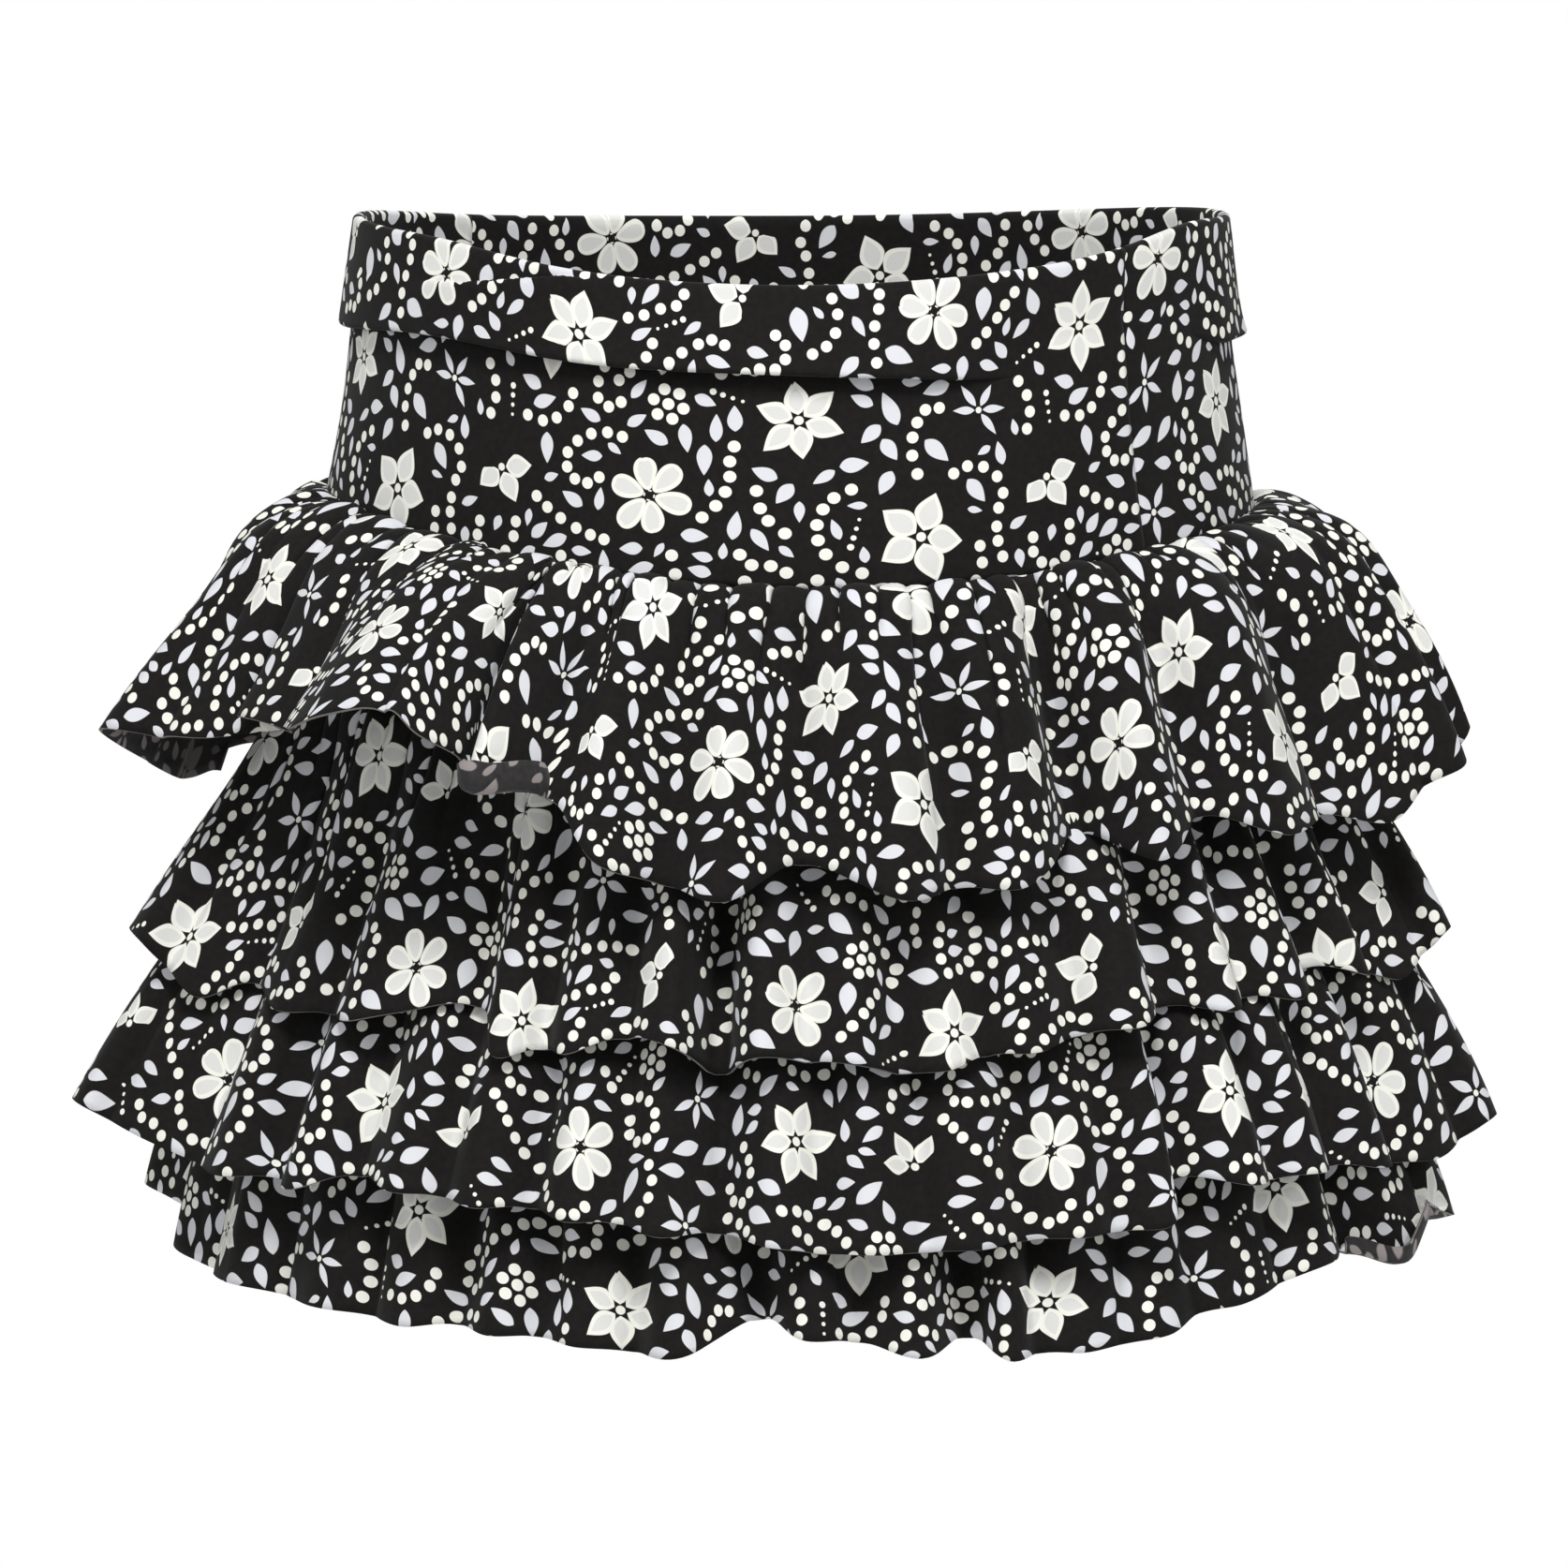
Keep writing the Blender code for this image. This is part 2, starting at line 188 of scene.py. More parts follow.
def clearance(spots, taken):
    """The least gap between round spots, rows of x, y and radius, and what is taken in the repeat."""
    points = np.array(taken)
    return min(np.min(apart(x, y, points) - points[:, 2]) - radius for x, y, radius in spots)


def grow_rings(rng, taken):
    """Small rings of six dots round a seventh."""
    dots = []
    while len(dots) < DOT_RINGS * 7:
        x, y, turn = rng.uniform(0, REPEAT), rng.uniform(0, REPEAT), rng.uniform(0, 1)
        around = taken + [(a, b, DOT_RADIUS) for a, b in dots]
        if clearance([(x, y, RING_RADIUS + DOT_RADIUS)], around) > RING_CLEARANCE:
            dots.append((x, y))
            for corner in range(6):
                heading = math.radians(60 * (corner + turn))
                dots.append((x + RING_RADIUS * math.cos(heading), y + RING_RADIUS * math.sin(heading)))
    return dots


def grow_chains(rng, taken):
    """Chains of dots that wander and end in a hook, clear of what is taken and of themselves."""
    dots = []
    while len(dots) < CHAIN_DOTS:
        x, y = rng.uniform(0, REPEAT), rng.uniform(0, REPEAT)
        heading = rng.uniform(0, 2 * math.pi)
        bend = math.radians(rng.uniform(*CHAIN_BEND)) * rng.choice((-1, 1))
        hook = math.radians(rng.uniform(*CHAIN_HOOK)) * rng.choice((-1, 1))
        long, hooked = rng.randint(*STRAIGHT_DOTS), rng.choice(HOOKED_DOTS)
        swing = rng.randint(*SWING_DOTS)
        chain = []
        around = np.array(taken + [(a, b, DOT_RADIUS) for a, b in dots])
        for step in range(long + hooked):
            dot = [(x, y, DOT_RADIUS)]
            own = [(a, b, DOT_RADIUS) for a, b in chain[:-1]]
            crossed = own and clearance(dot, own) < CHAIN_OWN_CLEARANCE
            if crossed or clearance(dot, around) < CHAIN_CLEARANCE:
                break
            chain.append((x, y))
            straight = step < long
            heading += (bend if step < swing else -bend) if straight else hook
            pitch = DOT_PITCH * rng.uniform(*DOT_SPREAD) if straight else HOOK_PITCH
            x = (x + pitch * math.cos(heading)) % REPEAT
            y = (y + pitch * math.sin(heading)) % REPEAT
        if len(chain) > 3:
            dots += chain
    return dots


def grow_trails(rng, taken):
    """Short trails of dots that dwindle."""
    trails = []
    while len(trails) < TRAILS * len(TRAIL_RADII):
        x, y, heading = rng.uniform(0, REPEAT), rng.uniform(0, REPEAT), rng.uniform(0, 2 * math.pi)
        trail = []
        for step, radius in enumerate(TRAIL_RADII):
            along = step * TRAIL_PITCH
            trail.append((x + along * math.cos(heading), y + along * math.sin(heading), radius))
        if clearance(trail, taken) > TRAIL_CLEARANCE:
            trails += trail
            taken = taken + trail
    return trails


def grow_leaves(rng, taken):
    """Leaves that fill the room left between flowers and dots, each clear of the others."""
    leaves = []
    taken = list(taken)
    tries = 0
    while len(leaves) < LEAVES and tries < LEAF_TRIES:
        tries += 1
        x, y, turn = rng.uniform(0, REPEAT), rng.uniform(0, REPEAT), rng.uniform(0, 2 * math.pi)
        half = 0.5 * rng.uniform(*LEAF_LENGTH) * (1.0 if tries < LARGE_LEAF_TRIES else SMALL_LEAF)
        wide = half * rng.uniform(*LEAF_SHARE)
        body = [
            (x + along * half * math.cos(turn), y + along * half * math.sin(turn), wide)
            for along in (-0.6, 0.0, 0.6)
        ]
        if clearance(body, taken) > LEAF_CLEARANCE:
            leaves.append((x, y, turn, half, wide))
            taken += [(a, b, 0.9 * wide) for a, b, wide in body]
    return leaves


print_rng = random.Random(PRINT_SEED)
flower_room = [(bloom.x, bloom.y, bloom.radius + FLOWER_CLEARANCE) for bloom in BLOOMS]
print_dots = grow_rings(print_rng, flower_room)
print_dots += grow_chains(print_rng, flower_room + [(x, y, DOT_RADIUS) for x, y in print_dots])
round_spots = [(x, y, DOT_RADIUS) for x, y in print_dots]
round_spots += grow_trails(print_rng, flower_room + round_spots)
print_leaves = grow_leaves(print_rng, flower_room + round_spots)

# One row for each dot or leaf: place, turn, half length, half width, and whether it is a leaf
print_spots = np.array(
    [(x, y, 0.0, radius, radius, 0.0) for x, y, radius in round_spots]
    + [(x, y, turn, half, wide, 1.0) for x, y, turn, half, wide in print_leaves]
)
print_blooms = np.array([tuple(bloom) for bloom in BLOOMS], dtype=float)
print_blooms[:, 3] = np.radians(print_blooms[:, 3])


def repeated(motifs, low, high, margin):
    """The motifs of the repeat over a stretch of cloth, in mm."""
    first = np.floor((low - margin) / REPEAT).astype(int)
    last = np.ceil((high + margin) / REPEAT).astype(int)
    copies = []
    for i in range(first[0], last[0]):
        for j in range(first[1], last[1]):
            copy = motifs.copy()
            copy[:, 0] += i * REPEAT
            copy[:, 1] += j * REPEAT
            copies.append(copy)
    all_motifs = np.concatenate(copies)
    near = np.all((all_motifs[:, :2] > low - margin) & (all_motifs[:, :2] < high + margin), axis=1)
    return all_motifs[near]


def own_frame(corners, motif):
    """Corners seen from their motif's centre, along and across it."""
    offset = corners - motif[:, None, :2]
    cosine, sine = np.cos(motif[:, 2])[:, None], np.sin(motif[:, 2])[:, None]
    along = offset[..., 0] * cosine + offset[..., 1] * sine
    across = offset[..., 1] * cosine - offset[..., 0] * sine
    return along, across


FACES_AT_ONCE = 1500
SPOT_LAYERS = ("spot_a", "spot_b", "spot_c")
SPOT_REACH = 14.0
BLOOM_REACH = 60.0


def lay_print(mesh, flat, start):
    """Give each face of a cloth the flower, dots and leaves nearest to it, seen from its corners, so
    that the print follows the cloth's flat shape. flat is each vertex's place on the cut piece."""
    corner_vertex = np.empty(len(mesh.loops), dtype=np.int32)
    mesh.loops.foreach_get("vertex_index", corner_vertex)
    corners = (flat[corner_vertex] + np.array(start)).reshape(-1, 4, 2)
    spot_layers = [np.empty((len(corners), 4, 3)) for _ in SPOT_LAYERS]
    bloom_layer = np.empty((len(corners), 4, 3))
    style_layer = np.empty((len(corners), 4, 3))
    for first in range(0, len(corners), FACES_AT_ONCE):
        rows = slice(first, first + FACES_AT_ONCE)
        block = corners[rows]
        middle = block.mean(axis=1)
        low, high = middle.min(axis=0), middle.max(axis=0)
        spots = repeated(print_spots, low, high, SPOT_REACH)
        dx = middle[:, None, 0] - spots[:, 0]
        dy = middle[:, None, 1] - spots[:, 1]
        cosine, sine = np.cos(spots[:, 2]), np.sin(spots[:, 2])
        core = np.maximum(np.abs(dx * cosine + dy * sine) - (spots[:, 3] - spots[:, 4]), 0)
        clear = np.hypot(core, dy * cosine - dx * sine) - spots[:, 4]
        nearest = np.argsort(clear, axis=1)[:, :len(SPOT_LAYERS)]
        for layer, column in zip(spot_layers, nearest.T):
            chosen = spots[column]
            along, across = own_frame(block, chosen)
            layer[rows, :, 0] = along / chosen[:, None, 3]
            layer[rows, :, 1] = across / chosen[:, None, 4]
            layer[rows, :, 2] = chosen[:, None, 5]
        blooms = repeated(print_blooms, low, high, BLOOM_REACH)
        dx = middle[:, None, 0] - blooms[:, 0]
        dy = middle[:, None, 1] - blooms[:, 1]
        chosen = blooms[np.argmin(np.hypot(dx, dy) - blooms[:, 2], axis=1)]
        along, across = own_frame(block, chosen[:, (0, 1, 3)])
        bloom_layer[rows, :, 0] = along / chosen[:, None, 2]
        bloom_layer[rows, :, 1] = across / chosen[:, None, 2]
        bloom_layer[rows, :, 2] = chosen[:, None, 4]
        style_layer[rows] = chosen[:, None, 5:8]
    layers = dict(zip(SPOT_LAYERS, spot_layers), bloom=bloom_layer, bloom_style=style_layer)
    for name, values in layers.items():
        attribute = mesh.attributes.new(name, "FLOAT_VECTOR", "CORNER")
        attribute.data.foreach_set("vector", values.astype(np.float32).ravel())


class Term:
    """A number that a material works out at each point, so that its recipe reads as sums."""

    def __init__(self, tree, socket):
        self.tree = tree
        self.socket = socket

    def worked(self, operation, *others):
        node = self.tree.nodes.new("ShaderNodeMath")
        node.operation = operation
        for socket, value in zip(node.inputs, (self, *others)):
            if isinstance(value, Term):
                self.tree.links.new(value.socket, socket)
            else:
                socket.default_value = value
        return Term(self.tree, node.outputs[0])

    def __add__(self, other):
        return self.worked("ADD", other)

    def __sub__(self, other):
        return self.worked("SUBTRACT", other)

    def __rsub__(self, other):
        return self.worked("MULTIPLY", -1.0).worked("ADD", other)

    def __mul__(self, other):
        return self.worked("MULTIPLY", other)

    def __truediv__(self, other):
        return self.worked("DIVIDE", other)

    def __pow__(self, other):
        return self.worked("POWER", other)

    def size(self):
        return self.worked("ABSOLUTE")

    def least(self, other):
        return self.worked("MINIMUM", other)

    def most(self, other):
        return self.worked("MAXIMUM", other)

    def between(self, low, high):
        """0 below low, 1 above high and smooth between them."""
        node = self.tree.nodes.new("ShaderNodeMapRange")
        node.interpolation_type = "SMOOTHSTEP"
        node.inputs["From Min"].default_value = low
        node.inputs["From Max"].default_value = high
        self.tree.links.new(self.socket, node.inputs["Value"])
        return Term(self.tree, node.outputs["Result"])


def corner_terms(tree, name):
    """The three numbers that lay_print left at the corners of the cloth."""
    source = tree.nodes.new("ShaderNodeAttribute")
    source.attribute_name = name
    split = tree.nodes.new("ShaderNodeSeparateXYZ")
    tree.links.new(source.outputs["Vector"], split.inputs[0])
    return [Term(tree, output) for output in split.outputs]


def mixed_colour(tree, share, under, over):
    """One colour laid over another by a share from 0 to 1."""
    node = tree.nodes.new("ShaderNodeMix")
    node.data_type = "RGBA"
    tree.links.new(share.socket, node.inputs["Factor"])
    for socket, colour in ((node.inputs["A"], under), (node.inputs["B"], over)):
        if isinstance(colour, tuple):
            socket.default_value = (*colour, 1.0)
        else:
            tree.links.new(colour, socket)
    return node.outputs["Result"]


LEAF_TAPER = 0.38
SPOT_EDGE = 6
PETAL_MIDDLE = 0.57
PETAL_HALF = 0.43
PETAL_WIDTH = 1.68
SLIM_CUT = 0.8
PETAL_UNEVEN = 0.07
RIM = (0.1, 0.14)
EYE_RADIUS = 0.095
RING_MIDDLE = 0.12
RING_EDGE = (0.975, 0.99)


def spot_masks(tree, soft):
    """Where the dots and the leaves lie, each from 0 to 1."""
    dots = leaves = None
    for name in SPOT_LAYERS:
        along, across, leaf = corner_terms(tree, name)
        slant = (1.0 - leaf * along * LEAF_TAPER).most(0.4)
        edge = 1.0 - along * along - (across.size() / slant) ** (2.0 - leaf * 0.8)
        shape = edge.between(0.0, soft * SPOT_EDGE)
        dots = shape * (1.0 - leaf) if dots is None else dots.most(shape * (1.0 - leaf))
        leaves = shape * leaf if leaves is None else leaves.most(shape * leaf)
    return dots, leaves


def bloom_masks(tree, soft):
    """Where the petals, their rims and the eyes lie, and which petals are a slim sprig's."""
    x, y, petals = corner_terms(tree, "bloom")
    pointed, kept, slim = corner_terms(tree, "bloom_style")
    reach = (x * x + y * y) ** 0.5
    angle = y.worked("ARCTAN2", x)
    sector = angle * petals / (2 * math.pi)
    petal = sector.worked("ROUND")
    off = (sector - petal) * 2 * math.pi / petals
    uneven = (petal * 2.3 + kept * 5).worked("SINE") * PETAL_UNEVEN
    along = reach * off.worked("COSINE") * (1.0 - uneven)
    across = (reach * (off + uneven * 1.2).worked("SINE")).size()
    length = (along - PETAL_MIDDLE) / PETAL_HALF
    left = (1.0 - length * length).most(0.0)
    round_width = left ** 0.5 * (length * 0.28 + 1.0)
    pointed_width = left * (1.12 - length * 0.42)
    width = round_width * (1.0 - pointed) + pointed_width * pointed * 0.84
    width = width / petals * (PETAL_WIDTH - slim * SLIM_CUT)
    depth = (width - across).least((1.0 - length.size()) * 0.5)
    shown = (petal.size() / petals * 2.0).worked("LESS_THAN", kept + 0.01)
    body = depth.between(0.0, soft) * shown
    rim = body * (1.0 - depth.between(*RIM)) * (1.0 - slim)
    eye = (1.0 - reach).between(1.0 - EYE_RADIUS - soft, 1.0 - EYE_RADIUS)
    ring = (1.0 - ((reach - RING_MIDDLE).size())).between(*RING_EDGE)
    ring = ring * (angle * 4.0).worked("SINE").between(0.0, 0.5) * (1.0 - pointed)
    return body, rim, (eye * pointed).most(ring), slim


MOTTLE_SCALE = 420.0
KNIT_SCALE = 1500.0
KNIT_DEPTH = 0.0004


def printed_jersey(name, ground, cream, petal, leaf, fuzz, soft):
    """Jersey with its print: the ground's colour, the inks, how fuzzy it is and how soft its print."""
    material = bpy.data.materials.new(name)
    material.use_nodes = True
    tree = material.node_tree
    shader = tree.nodes["Principled BSDF"]
    dots, leaves = spot_masks(tree, soft)
    body, rim, eye, slim = bloom_masks(tree, soft)
    place = tree.nodes.new("ShaderNodeTexCoord")
    mottle = tree.nodes.new("ShaderNodeTexNoise")
    mottle.inputs["Scale"].default_value = MOTTLE_SCALE
    mottle.inputs["Detail"].default_value = 3.0
    tree.links.new(place.outputs["Object"], mottle.inputs["Vector"])
    speckle = Term(tree, mottle.outputs["Fac"]).between(0.3, 0.7)
    darker, lighter = tuple(0.82 * part for part in ground), tuple(1.2 * part for part in ground)
    worn = mixed_colour(tree, speckle, darker, lighter)
    colour = mixed_colour(tree, leaves, worn, leaf)
    colour = mixed_colour(tree, dots, colour, cream)
    colour = mixed_colour(tree, body * slim, colour, leaf)
    colour = mixed_colour(tree, body * (1.0 - slim), colour, petal)
    colour = mixed_colour(tree, rim.most(eye), colour, cream)
    tree.links.new(colour, shader.inputs["Base Color"])
    shader.inputs["Roughness"].default_value = 0.82
    shader.inputs["Specular IOR Level"].default_value = 0.16
    shader.inputs["Sheen Weight"].default_value = fuzz
    shader.inputs["Sheen Roughness"].default_value = 0.5
    knit = tree.nodes.new("ShaderNodeTexNoise")
    knit.inputs["Scale"].default_value = KNIT_SCALE
    knit.inputs["Detail"].default_value = 2.0
    tree.links.new(place.outputs["Object"], knit.inputs["Vector"])
    relief = tree.nodes.new("ShaderNodeBump")
    relief.inputs["Strength"].default_value = 0.25
    relief.inputs["Distance"].default_value = KNIT_DEPTH
    tree.links.new(knit.outputs["Fac"], relief.inputs["Height"])
    tree.links.new(relief.outputs["Normal"], shader.inputs["Normal"])
    return material


FACE_GROUND = (0.0075, 0.0066, 0.0062)
CREAM = (0.84, 0.84, 0.77)
PETAL = (0.70, 0.70, 0.68)
LEAF = (0.69, 0.70, 0.735)
printed_face = printed_jersey("printed_jersey", FACE_GROUND, CREAM, PETAL, LEAF, 0.04, 0.02)
DULL_GROUND = (0.028, 0.026, 0.028)
DULL_INK = (0.28, 0.25, 0.245)
printed_reverse = printed_jersey("jersey_reverse", DULL_GROUND, DULL_INK, DULL_INK, DULL_INK, 0.1, 0.07)
RAW_EDGE = (0.16, 0.15, 0.14)
raw_edge = plain_material("raw_cut_edge", RAW_EDGE, 0.9)

# Yoke
# A wide band of doubled jersey that grips the waist, sewn from a front and a back. Its top is folded
# over to the outside and hangs loose for a third of its depth, but for the right of the front, where
# it lies flat. One of the two seams shows there.
MM = 0.001
Ring = namedtuple("Ring", "half_width half_depth side front back tilt")

# Ovals round the body, in mm: half width and half depth, heights at the sides, front and back, tilt
WAIST = Ring(150.5, 108.0, -2.9, -18.0, -13.4, 0.0)
FOLD_EDGE = Ring(154.0, 115.5, -40.0, -46.5, -46.0, 1.5)
YOKE_SEAM = Ring(162.5, 128.5, -101.5, -119.0, -116.0, 3.0)
YOKE_SEAM_TURN = 49.0
YOKE_CLOTH = 1.5 * MM
YOKE_CELL = 2.3
FOLD_RADIUS = 1.4
PANEL_GAP = 0.02
SEAM_DIP = 0.5
WALL_ROWS = 46
FOLD_ROWS = 7
BAND_ROWS = 40
EDGE_ROWS = 3
BAND_DOWN = np.linspace(0.04, 1.0, BAND_ROWS)
EDGE_UNDER = np.linspace(0.3, 1.0, EDGE_ROWS)
CREASE_FROM = (-60, -47)
CREASE_TO = (-31, -25)
CREASE_ROLL = 3.6
CREASE_TUCK = 3.8
BAND_FLARE = 0.7
EDGE_TURN_IN = 1.3
LAID_FROM = (12, 34)
LAID_TO = (62, 76)
LAID_REACH = 0.33
PRINT_SHIFT = 13.0
PRINT_SHIFT_FADES = (-25, 22)
Hill = namedtuple("Hill", "turn reach height")
WAIST_HILLS = (Hill(-52, 16, 2.6), Hill(64, 14, 3.6), Hill(-132, 26, -2.2), Hill(228, 26, -2.2))
BAND_EDGE_HILLS = (Hill(-51, 24, 6.0), Hill(-6, 18, 1.9))
SIDE_ROLL_HILLS = (Hill(-70, 12, 1.2),)
SIDE_FLARE_HILLS = (Hill(88, 5, 1.6),)
CLINGING_HILLS = (Hill(48, 30, 0.9),)


def ring_place(ring, turn, out, drop):
    """Places at turns round a ring, moved out and down by mm, in metres. Each part may be an array."""
    half_width, half_depth, side, front, back, tilt = ring
    turn = np.radians(turn)
    across, along = np.sin(turn), np.cos(turn)
    middle = np.where(along > 0, front, back)
    height = side + (middle - side) * along**2 - tilt * across
    x, y = (half_width + out) * across, -(half_depth + out) * along
    return np.stack(np.broadcast_arrays(x, y, height - drop), axis=-1) * MM


def ring_between(first, second, share):
    return tuple(a + (b - a) * share for a, b in zip(first, second))


def bump(value, middle, reach):
    """A soft hill of height 1."""
    return np.exp(-(((value - middle) / reach) ** 2))


def hills(turn, rows):
    """The height of soft hills that stand round the waist, in mm."""
    return sum(hill.height * bump(turn, hill.turn, hill.reach) for hill in rows)


def rise(value, low, high):
    """0 below low, 1 above high and smooth between them."""
    share = np.clip((value - low) / (high - low), 0, 1)
    return share * share * (3 - 2 * share)


def lengths_along(places, axis):
    """Distance along a grid of places from its first row or column, in mm."""
    steps = np.linalg.norm(np.diff(places, axis=axis), axis=-1) / MM
    start = np.zeros_like(np.take(steps, [0], axis=axis))
    return np.concatenate((start, np.cumsum(steps, axis=axis)), axis=axis)


def cloth_piece(name, places, flat, start, thickness, materials, node):
    """A grid of cloth bent to its places, printed unless flat is None, and given its thickness. The
    materials are those of its outside, its inside and its cut edge."""
    across, down = places.shape[0] - 1, places.shape[1] - 1
    grid = bmesh.new()
    bmesh.ops.create_grid(grid, x_segments=across, y_segments=down, size=0.5)
    mesh = bpy.data.meshes.new(name)
    grid.to_mesh(mesh)
    grid.free()
    spots = np.empty(len(mesh.vertices) * 3)
    mesh.vertices.foreach_get("co", spots)
    spots = spots.reshape(-1, 3)
    column = np.rint((spots[:, 0] + 0.5) * across).astype(int)
    row = np.rint((0.5 - spots[:, 1]) * down).astype(int)
    mesh.vertices.foreach_set("co", places[column, row].ravel())
    mesh.update()
    if flat is not None:
        lay_print(mesh, flat[column, row], start)
    for material in materials:
        mesh.materials.append(material)
    mesh.shade_smooth()
    piece = bpy.data.objects.new(name, mesh)
    bpy.context.scene.collection.objects.link(piece)
    wall = piece.modifiers.new("wall", "SOLIDIFY")
    wall.thickness = thickness
    wall.offset = 0.0
    wall.material_offset = 1
    wall.material_offset_rim = 2
    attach(piece, "root")
    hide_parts(node)
    return piece


def wall_bulge(turn, down):
    """How far the wall of the yoke stands off the straight line from waist to seam, in mm."""
    return -1.5 * np.sin(math.pi * down) + 0.25 * np.sin(np.radians(turn * 5) + down * 9)


def loose_band(turn, waist_rise, at_seam):
    """The folded-over band where it hangs free: creased and rolled at the left of the front, and its
    edge turned in a little."""
    down = BAND_DOWN[None, :]
    crease = 0.4 * np.clip((-26 - turn) / 22, 0, 1)
    creased = rise(turn, *CREASE_FROM) * (1 - rise(turn, *CREASE_TO))
    roll = CREASE_ROLL * rise(down, crease - 0.04, crease + 0.04) * creased
    roll += hills(turn, SIDE_ROLL_HILLS) * rise(down, 0.42, 0.5)
    tuck = CREASE_TUCK * bump(down, crease + 0.06, 0.06) * creased
    away = BAND_FLARE * down * (1 + 0.5 * np.sin(np.radians(turn * 3 + 40)))
    away += hills(turn, SIDE_FLARE_HILLS) * down**6 - hills(turn, CLINGING_HILLS) * down
    out = 2 * FOLD_RADIUS + 0.5 * down + roll * (1 - 0.7 * down) + away - at_seam
    edge_rise = hills(turn, BAND_EDGE_HILLS)
    drop = -waist_rise * (1 - down) ** 2 - tuck - edge_rise * down**2
    band = ring_place(ring_between(WAIST, FOLD_EDGE, down), turn, out, drop)
    edge_out = out[:, -1:] - EDGE_TURN_IN * EDGE_UNDER**2
    edge_drop = 0.9 * np.sin(EDGE_UNDER * math.pi * 0.75) - edge_rise
    return np.concatenate((band, ring_place(FOLD_EDGE, turn, edge_out, edge_drop)), axis=1)


def laid_band(turn, waist_rise, at_seam):
    """The folded-over band where it lies so close to the wall that its edge sinks away."""
    down = BAND_DOWN[None, :]
    reach = down * LAID_REACH
    fold = 2 * FOLD_RADIUS * (1 - rise(down, 0, 0.85))
    out = wall_bulge(turn, reach) - at_seam + fold - 0.3 * down
    drop = -waist_rise * (1 - reach) ** 2
    band = ring_place(ring_between(WAIST, YOKE_SEAM, reach), turn, out, drop)
    edge = np.repeat(band[:, -1:], EDGE_ROWS, axis=1)
    edge[..., 2] -= 0.5 * MM * EDGE_UNDER
    return np.concatenate((band, edge), axis=1)


def yoke_places(turns):
    """The yoke's section at each turn, from the band's edge up over the fold and down to the seam."""
    turn = turns[:, None]
    at_seam = np.zeros_like(turn)
    at_seam[[0, -1]] = SEAM_DIP
    waist_rise = hills(turn, WAIST_HILLS)
    up = np.linspace(1.0, 0.02, WALL_ROWS)[None, :]
    wall_out = wall_bulge(turn, up) - at_seam
    wall = ring_place(ring_between(WAIST, YOKE_SEAM, up), turn, wall_out, -waist_rise * (1 - up) ** 2)
    over = np.radians(np.linspace(15, 165, FOLD_ROWS))[None, :]
    fold_drop = -FOLD_RADIUS * np.sin(over) - waist_rise
    fold = ring_place(WAIST, turn, FOLD_RADIUS * (1 - np.cos(over)), fold_drop)
    laid = (rise(turn, *LAID_FROM) * (1 - rise(turn, *LAID_TO)))[..., None]
    band = loose_band(turn, waist_rise, at_seam) * (1 - laid)
    band += laid_band(turn, waist_rise, at_seam) * laid
    return np.concatenate((wall, fold, band), axis=1)[:, ::-1]


def yoke_print(turns, flat):
    """Where the print lies on the yoke, in mm. The band wears what the wall behind it would, and the
    wall's print is shifted along over the left of the front panel, where the band hangs loose."""
    fold_row = EDGE_ROWS + BAND_ROWS + FOLD_ROWS // 2
    below = flat[..., 1] - flat[:, fold_row:fold_row + 1, 1]
    loose = 1 - rise(turns[:, None], *PRINT_SHIFT_FADES)
    shifted = PRINT_SHIFT * loose * rise(below, 4, 30)
    return np.stack((flat[..., 0] + shifted, np.abs(below)), axis=-1)


YokePanel = namedtuple("YokePanel", "name start end print_start")
YOKE_PANELS = (
    YokePanel("yoke_front", YOKE_SEAM_TURN - 180, YOKE_SEAM_TURN, (31.0, 17.0)),
    YokePanel("yoke_back", YOKE_SEAM_TURN, YOKE_SEAM_TURN + 180, (112.0, 84.0)),
)
gap = math.degrees(PANEL_GAP / WAIST.half_depth)
half_girth = 0.5 * math.pi * (YOKE_SEAM.half_width + YOKE_SEAM.half_depth)
for panel in YOKE_PANELS:
    turns = np.linspace(panel.start + gap, panel.end - gap, round(half_girth / YOKE_CELL))
    places = yoke_places(turns)
    width = lengths_along(places[:, -1:], 0)
    flat = np.stack(np.broadcast_arrays(width, lengths_along(places, 1)), axis=-1)
    piece = cloth_piece(
        f"{panel.name}_cloth", places, yoke_print(turns, flat), panel.print_start, YOKE_CLOTH,
        (printed_face, printed_face, printed_face), panel.name,
    )

# Base skirt
# A plain near-black skirt of the same jersey under the tiers, sewn into the yoke seam. It carries the
# second, third and fourth tiers and shows only from below.
TIER_SEAMS = (
    YOKE_SEAM,
    Ring(176.0, 142.0, -160.0, -177.0, -176.0, 2.0),
    Ring(187.0, 153.0, -219.0, -238.0, -237.0, 2.0),
    Ring(193.0, 160.0, -266.0, -284.0, -283.0, 1.0),
)
CLOTH = 0.9 * MM
BASE_TUCK = 0.8
BASE_COLUMNS = 150
BASE_ROWS = 20
BASE_COLOUR = (0.012, 0.011, 0.011)
plain_jersey = plain_material("plain_jersey", BASE_COLOUR, 0.88)


